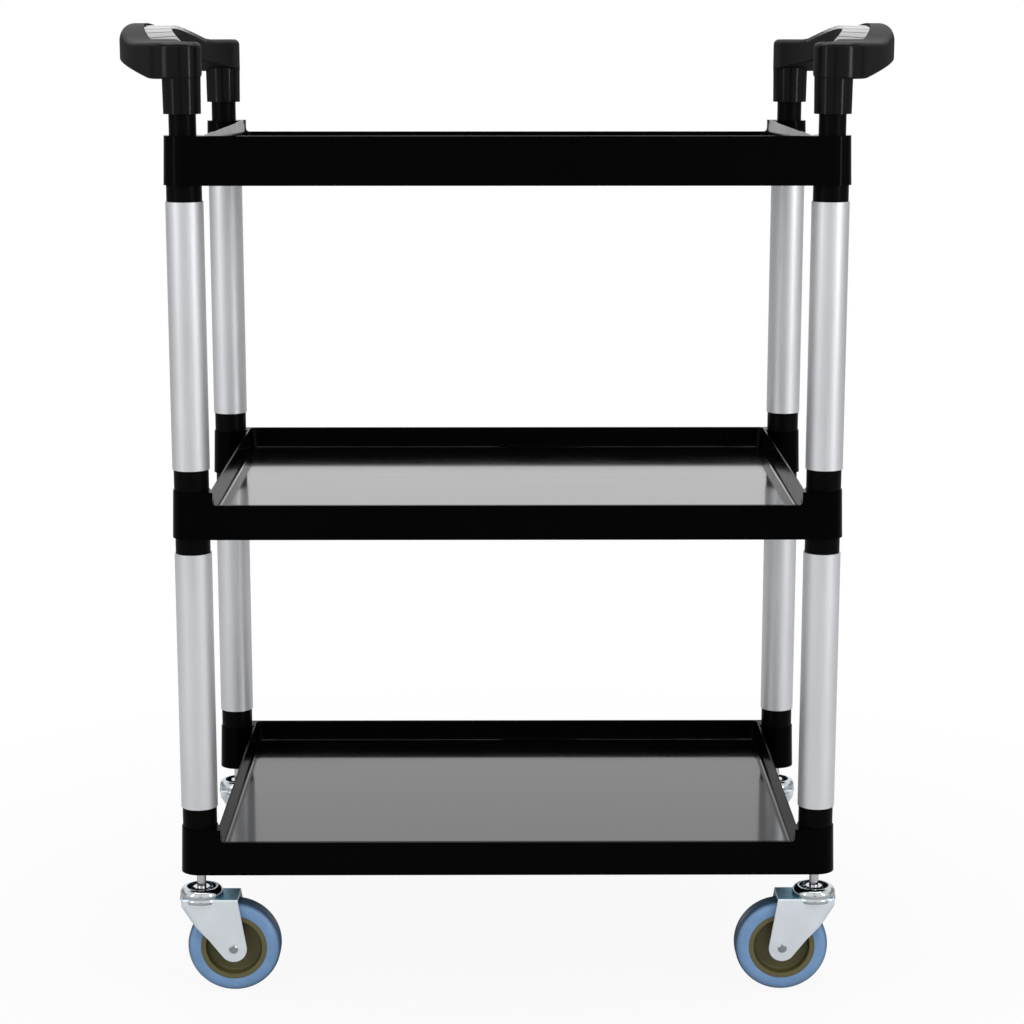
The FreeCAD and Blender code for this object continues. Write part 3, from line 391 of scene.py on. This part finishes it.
def overlay(tree, mask, colour):
    """Lays a second colour over the material's own, where the mask is one."""
    shader = tree.nodes["Principled BSDF"]
    plain = shader.inputs["Base Color"].links[0].from_socket
    mix = tree.nodes.new("ShaderNodeMix")
    mix.data_type = "RGBA"
    tree.links.new(mask, mix.inputs["Factor"])
    tree.links.new(plain, mix.inputs["A"])
    mix.inputs["B"].default_value = (*colour, 1)
    tree.links.new(mix.outputs["Result"], shader.inputs["Base Color"])


def painted_blue_reflection(material, blue):
    """Painted reflection: a blue tint laid over the crown where it lies level."""
    tree = material.node_tree
    facing_up = component(tree, "ShaderNodeTexCoord", "Normal", "Z")
    overlay(tree, remap(tree, facing_up, 0.6, 0.95, 0.0, 1.0), blue)


# Painted reflection: the blue on the crowns' level tops stands in for a reflection.
painted_blue_reflection(fork_steel, (0.16, 0.36, 0.50))
dress("stem_nuts", stem_steel)
for post in POSTS:
    dress("caster_stem_" + post, stem_steel)
    dress("bearing_balls_" + post, stem_steel)
    dress("swivel_cap_" + post, cap_steel)
    dress("fork_" + post, fork_steel)
    dress("axle_" + post, axle_steel)


# ---- Casters: rolled crown beads -------------------------------------------------------------
# The edge of each fork's crown is rolled into a bright bead under the cap. It is drawn here as
# a turned ring let into the crown's skirt, and turns with the fork.
def rolled_bead(name, centre, radius, height, proud, parts=72, turns=14, sunk_share=0.45):
    """A ring of oval section. Part of its depth is sunk below the given radius."""
    mesh = bmesh.new()
    rings = []
    for step in range(parts):
        angle = 2 * math.pi * step / parts
        ring = []
        for point in range(turns):
            round_angle = 2 * math.pi * point / turns
            reach = radius + proud * (math.cos(round_angle) - sunk_share)
            ring.append(mesh.verts.new((centre[0] + reach * math.cos(angle),
                                        centre[1] + reach * math.sin(angle),
                                        centre[2] + height / 2 * math.sin(round_angle))))
        rings.append(ring)
    for step in range(parts):
        first, second = rings[step], rings[(step + 1) % parts]
        for point in range(turns):
            after = (point + 1) % turns
            mesh.faces.new((first[point], second[point], second[after], first[after]))
    bmesh.ops.recalc_face_normals(mesh, faces=mesh.faces)
    data = bpy.data.meshes.new(name)
    mesh.to_mesh(data)
    mesh.free()
    data.shade_smooth()
    piece = bpy.data.objects.new(name, data)
    bpy.context.collection.objects.link(piece)
    return piece


bead_height, bead_drop, bead_proud = 0.0052, 0.0033, 0.0012
for post in POSTS:
    low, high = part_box("swivel_cap_" + post)
    middle = ((low[0] + high[0]) / 2, (low[1] + high[1]) / 2, low[2] - bead_drop)
    cap_radius = (high[0] - low[0]) / 2
    bead = rolled_bead("crown_bead_" + post, middle, cap_radius, bead_height, bead_proud)
    bead.data.materials.append(cap_steel)
    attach(bead, "swivel_" + post)


# ---- Casters: wheels -----------------------------------------------------------------------
# A blue-grey rubber tyre moulded round a khaki plastic hub. The tread is coloured a little
# darker than the side walls, and the hub's dished faces carry painted shade.
def rubber_surface():
    group, given, result = new_group(
        "rubber_surface", [("roughness", "NodeSocketFloat"), ("tint", "NodeSocketFloat"),
                           ("height", "NodeSocketFloat")], smoothest=0.4, roughest=0.6)
    even = stretched(group, 1, 1, 1)
    dust = noise(group, even, 45.0, 5.0)
    pores = noise(group, even, 1200.0, 2.0)
    group.links.new(remap(group, dust, 0.3, 0.7, given.outputs["smoothest"],
                          given.outputs["roughest"]), result.inputs["roughness"])
    group.links.new(remap(group, dust, 0.25, 0.75, 0.86, 1.12), result.inputs["tint"])
    group.links.new(pores, result.inputs["height"])
    return group


RUBBER = rubber_surface()


def soft_surface(name, colour, smoothest, roughest):
    material, tree, shader = new_material(name)
    finish = place_group(tree, RUBBER, smoothest=smoothest, roughest=roughest)
    tinted(tree, shader, colour, finish["tint"])
    tree.links.new(finish["roughness"], shader.inputs["Roughness"])
    shader.inputs["IOR"].default_value = 1.5
    bump(tree, shader, finish["height"], 0.1, 0.0001)
    return material


def darker_tread(material, dark):
    """Darkens the rubber where it faces away from the axle."""
    tree = material.node_tree
    facing_side = component(tree, "ShaderNodeTexCoord", "Normal", "Y")
    sideways = calculate(tree, "ABSOLUTE", facing_side)
    overlay(tree, remap(tree, sideways, 0.45, 0.85, 1.0, 0.0), dark)


tyre_rubber = soft_surface("tyre_rubber", (0.18, 0.325, 0.56), 0.35, 0.5)
darker_tread(tyre_rubber, (0.05, 0.09, 0.15))
hub_plastic = soft_surface("hub_plastic", (0.36, 0.32, 0.17), 0.35, 0.5)


def painted_dish_shade(material, wheel_row, rim_reach, dark):
    """Painted shade: the dished faces of the hub are coloured darker than its rims, for the
    shadow in the recess.
    """
    tree = material.node_tree
    place = tree.nodes.new("ShaderNodeSeparateXYZ")
    tree.links.new(stretched(tree, 1, 1, 1), place.inputs["Vector"])
    across = calculate(tree, "ABSOLUTE", place.outputs["Y"])
    reach = calculate(tree, "ABSOLUTE", calculate(tree, "SUBTRACT", across, wheel_row))
    deep, shallow = rim_reach - 0.004, rim_reach - 0.0005
    overlay(tree, remap(tree, reach, deep, shallow, 1.0, 0.0), dark)


hub_low, hub_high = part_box("hub_rear_left")
hub_row, hub_half_width = (hub_low[1] + hub_high[1]) / 2, (hub_high[1] - hub_low[1]) / 2
# Painted shade: a darker colour in the hub's dished faces, where shadow falls.
painted_dish_shade(hub_plastic, hub_row, hub_half_width, (0.09, 0.08, 0.025))
for post in POSTS:
    dress("tyre_" + post, tyre_rubber)
    dress("hub_" + post, hub_plastic)


# ---- Floor ---------------------------------------------------------------------------------
# A plain white studio floor. Near the trolley it takes soft shadows; further out it runs
# into the white of the room.
def floor_material():
    material, tree, shader = new_material("studio_floor")
    shader.inputs["Base Color"].default_value = (0.44, 0.44, 0.44, 1)
    shader.inputs["Roughness"].default_value = 0.9
    shader.inputs["Specular IOR Level"].default_value = 0.0
    glow = tree.nodes.new("ShaderNodeEmission")
    coordinates = tree.nodes.new("ShaderNodeTexCoord")
    distance = tree.nodes.new("ShaderNodeVectorMath")
    distance.operation = "LENGTH"
    tree.links.new(coordinates.outputs["Object"], distance.inputs[0])
    fade = remap(tree, distance.outputs["Value"], 0.4, 1.1, 0.93, 1.0)
    path = tree.nodes.new("ShaderNodeLightPath")
    seen = calculate(tree, "MULTIPLY", fade, path.outputs["Is Camera Ray"])
    blend = tree.nodes.new("ShaderNodeMixShader")
    tree.links.new(seen, blend.inputs["Fac"])
    tree.links.new(shader.outputs["BSDF"], blend.inputs[1])
    tree.links.new(glow.outputs["Emission"], blend.inputs[2])
    tree.links.new(blend.outputs["Shader"], tree.nodes["Material Output"].inputs["Surface"])
    return material


floor_mesh = bpy.data.meshes.new("floor")
floor_reach, floor_gap = 14.0, 0.0005
corners = [(x * floor_reach, y * floor_reach, 0) for x, y in ((-1, -1), (1, -1), (1, 1), (-1, 1))]
floor_mesh.from_pydata(corners, [], [(0, 1, 2, 3)])
floor_mesh.materials.append(floor_material())
floor = bpy.data.objects.new("floor", floor_mesh)
floor.location.z = cad_low.z - floor_gap
bpy.context.collection.objects.link(floor)
floor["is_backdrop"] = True


# ---- Lamps and room ------------------------------------------------------------------------
# Two tall soft boxes light the posts from the front corners, and a wide one hangs overhead.
# The room is white behind the trolley, and dims in front of it and at the rear corners.
lamp_aim = Vector((0, 0, 0.5))


def soft_box(name, place, size, watts):
    lamp = bpy.data.lights.new(name, "AREA")
    lamp.shape = "RECTANGLE"
    lamp.size, lamp.size_y = size
    lamp.energy = watts
    box = bpy.data.objects.new(name, lamp)
    box.location = place
    box.rotation_euler = (lamp_aim - Vector(place)).to_track_quat("-Z", "Y").to_euler()
    bpy.context.collection.objects.link(box)


soft_box("left_box", (-2.3, -1.9, 1.5), (0.5, 2.0), 9)
soft_box("right_box", (2.3, -1.9, 1.5), (0.3, 2.0), 18)
soft_box("overhead_box", (0, 0.2, 3.0), (3.0, 1.6), 50)

world = bpy.data.worlds.new("room")
bpy.context.scene.world = world
world.use_nodes = True
room = world.node_tree
background = room.nodes["Background"]
background.inputs["Color"].default_value = (1, 1, 1, 1)
direction = room.nodes.new("ShaderNodeTexCoord")
parts = room.nodes.new("ShaderNodeSeparateXYZ")
room.links.new(direction.outputs["Generated"], parts.inputs["Vector"])
turn = calculate(room, "ARCTAN2", calculate(room, "ABSOLUTE", parts.outputs["X"]),
                 calculate(room, "MULTIPLY", parts.outputs["Y"], -1.0))
walls = room.nodes.new("ShaderNodeValToRGB")
room.links.new(remap(room, turn, 0.0, math.pi, 0.0, 1.0), walls.inputs["Fac"])
# Each stop is a share of the half turn from the front to the rear, and the wall's brightness.
stops = ((0.0, 0.45), (0.03, 0.5), (0.07, 0.9), (0.42, 0.9), (0.52, 0.35), (0.78, 0.3),
         (0.86, 1.0))
ramp = walls.color_ramp.elements
for number, (place, level) in enumerate(stops):
    stop = ramp[number] if number < 2 else ramp.new(place)
    stop.position = place
    stop.color = (level, level, level, 1)
overhead = remap(room, parts.outputs["Z"], 0.3, 0.5, 0.0, 1.0)
ceiling = remap(room, parts.outputs["Z"], 0.6, 0.9, 1.0, 0.6)
around = calculate(room, "MAXIMUM", walls.outputs["Color"],
                   calculate(room, "MULTIPLY", overhead, ceiling))
path = room.nodes.new("ShaderNodeLightPath")
strength = calculate(room, "MAXIMUM", around, path.outputs["Is Camera Ray"])
room.links.new(strength, background.inputs["Strength"])

bpy.context.scene.view_settings.view_transform = "Standard"

low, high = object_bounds()
